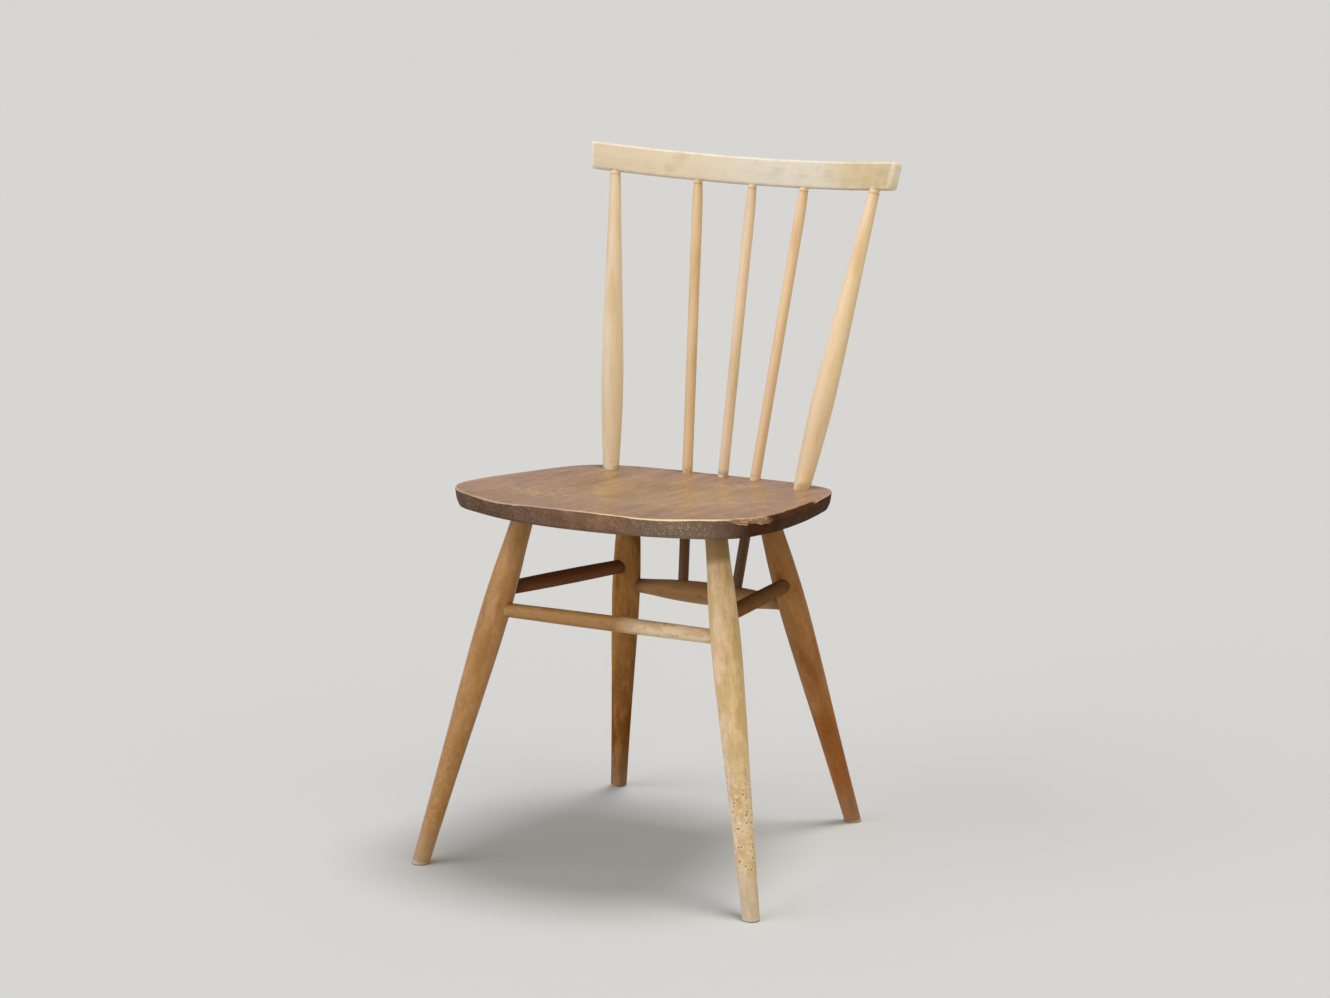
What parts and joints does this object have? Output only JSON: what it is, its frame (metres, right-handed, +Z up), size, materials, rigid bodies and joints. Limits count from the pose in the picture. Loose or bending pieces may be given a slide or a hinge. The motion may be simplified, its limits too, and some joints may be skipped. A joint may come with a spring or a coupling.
{
  "type": "worn stick-back kitchen chair",
  "caption": "Wooden kitchen chair with a dished seat, splayed turned legs tied by stretchers, and a back of turned sticks under a bent crest rail.",
  "frame": {"origin": "on the floor, in the middle of the chair's width and depth", "axes": "+Z up, -Y towards the front of the seat, +X to the right as seen from the front"},
  "size_m": [0.439, 0.4752, 0.7994],
  "materials": {
    "seat_wood": "worn bare elm, matte, with scuffs, a chipped front corner and pale rubbed edges",
    "crest_wood": "rubbed pale beech, satin to matte",
    "stick_wood": "old clear finish on straw-coloured beech, satin",
    "leg_wood": "old honey-brown clear finish, rubbed and speckled, with worn feet"
  },
  "bodies": {
    "root": {"seat": "seat_wood", "crest_rail": "crest_wood", "front_left_leg": "leg_wood", "front_right_leg": "leg_wood", "rear_left_leg": "leg_wood", "rear_right_leg": "leg_wood", "front_stretcher": "leg_wood", "rear_stretcher": "leg_wood", "left_side_stretcher": "leg_wood", "right_side_stretcher": "leg_wood", "left_outer_stick": "stick_wood", "right_outer_stick": "stick_wood", "left_inner_stick": "stick_wood", "right_inner_stick": "stick_wood", "centre_stick": "stick_wood"}
  },
  "joints": []
}
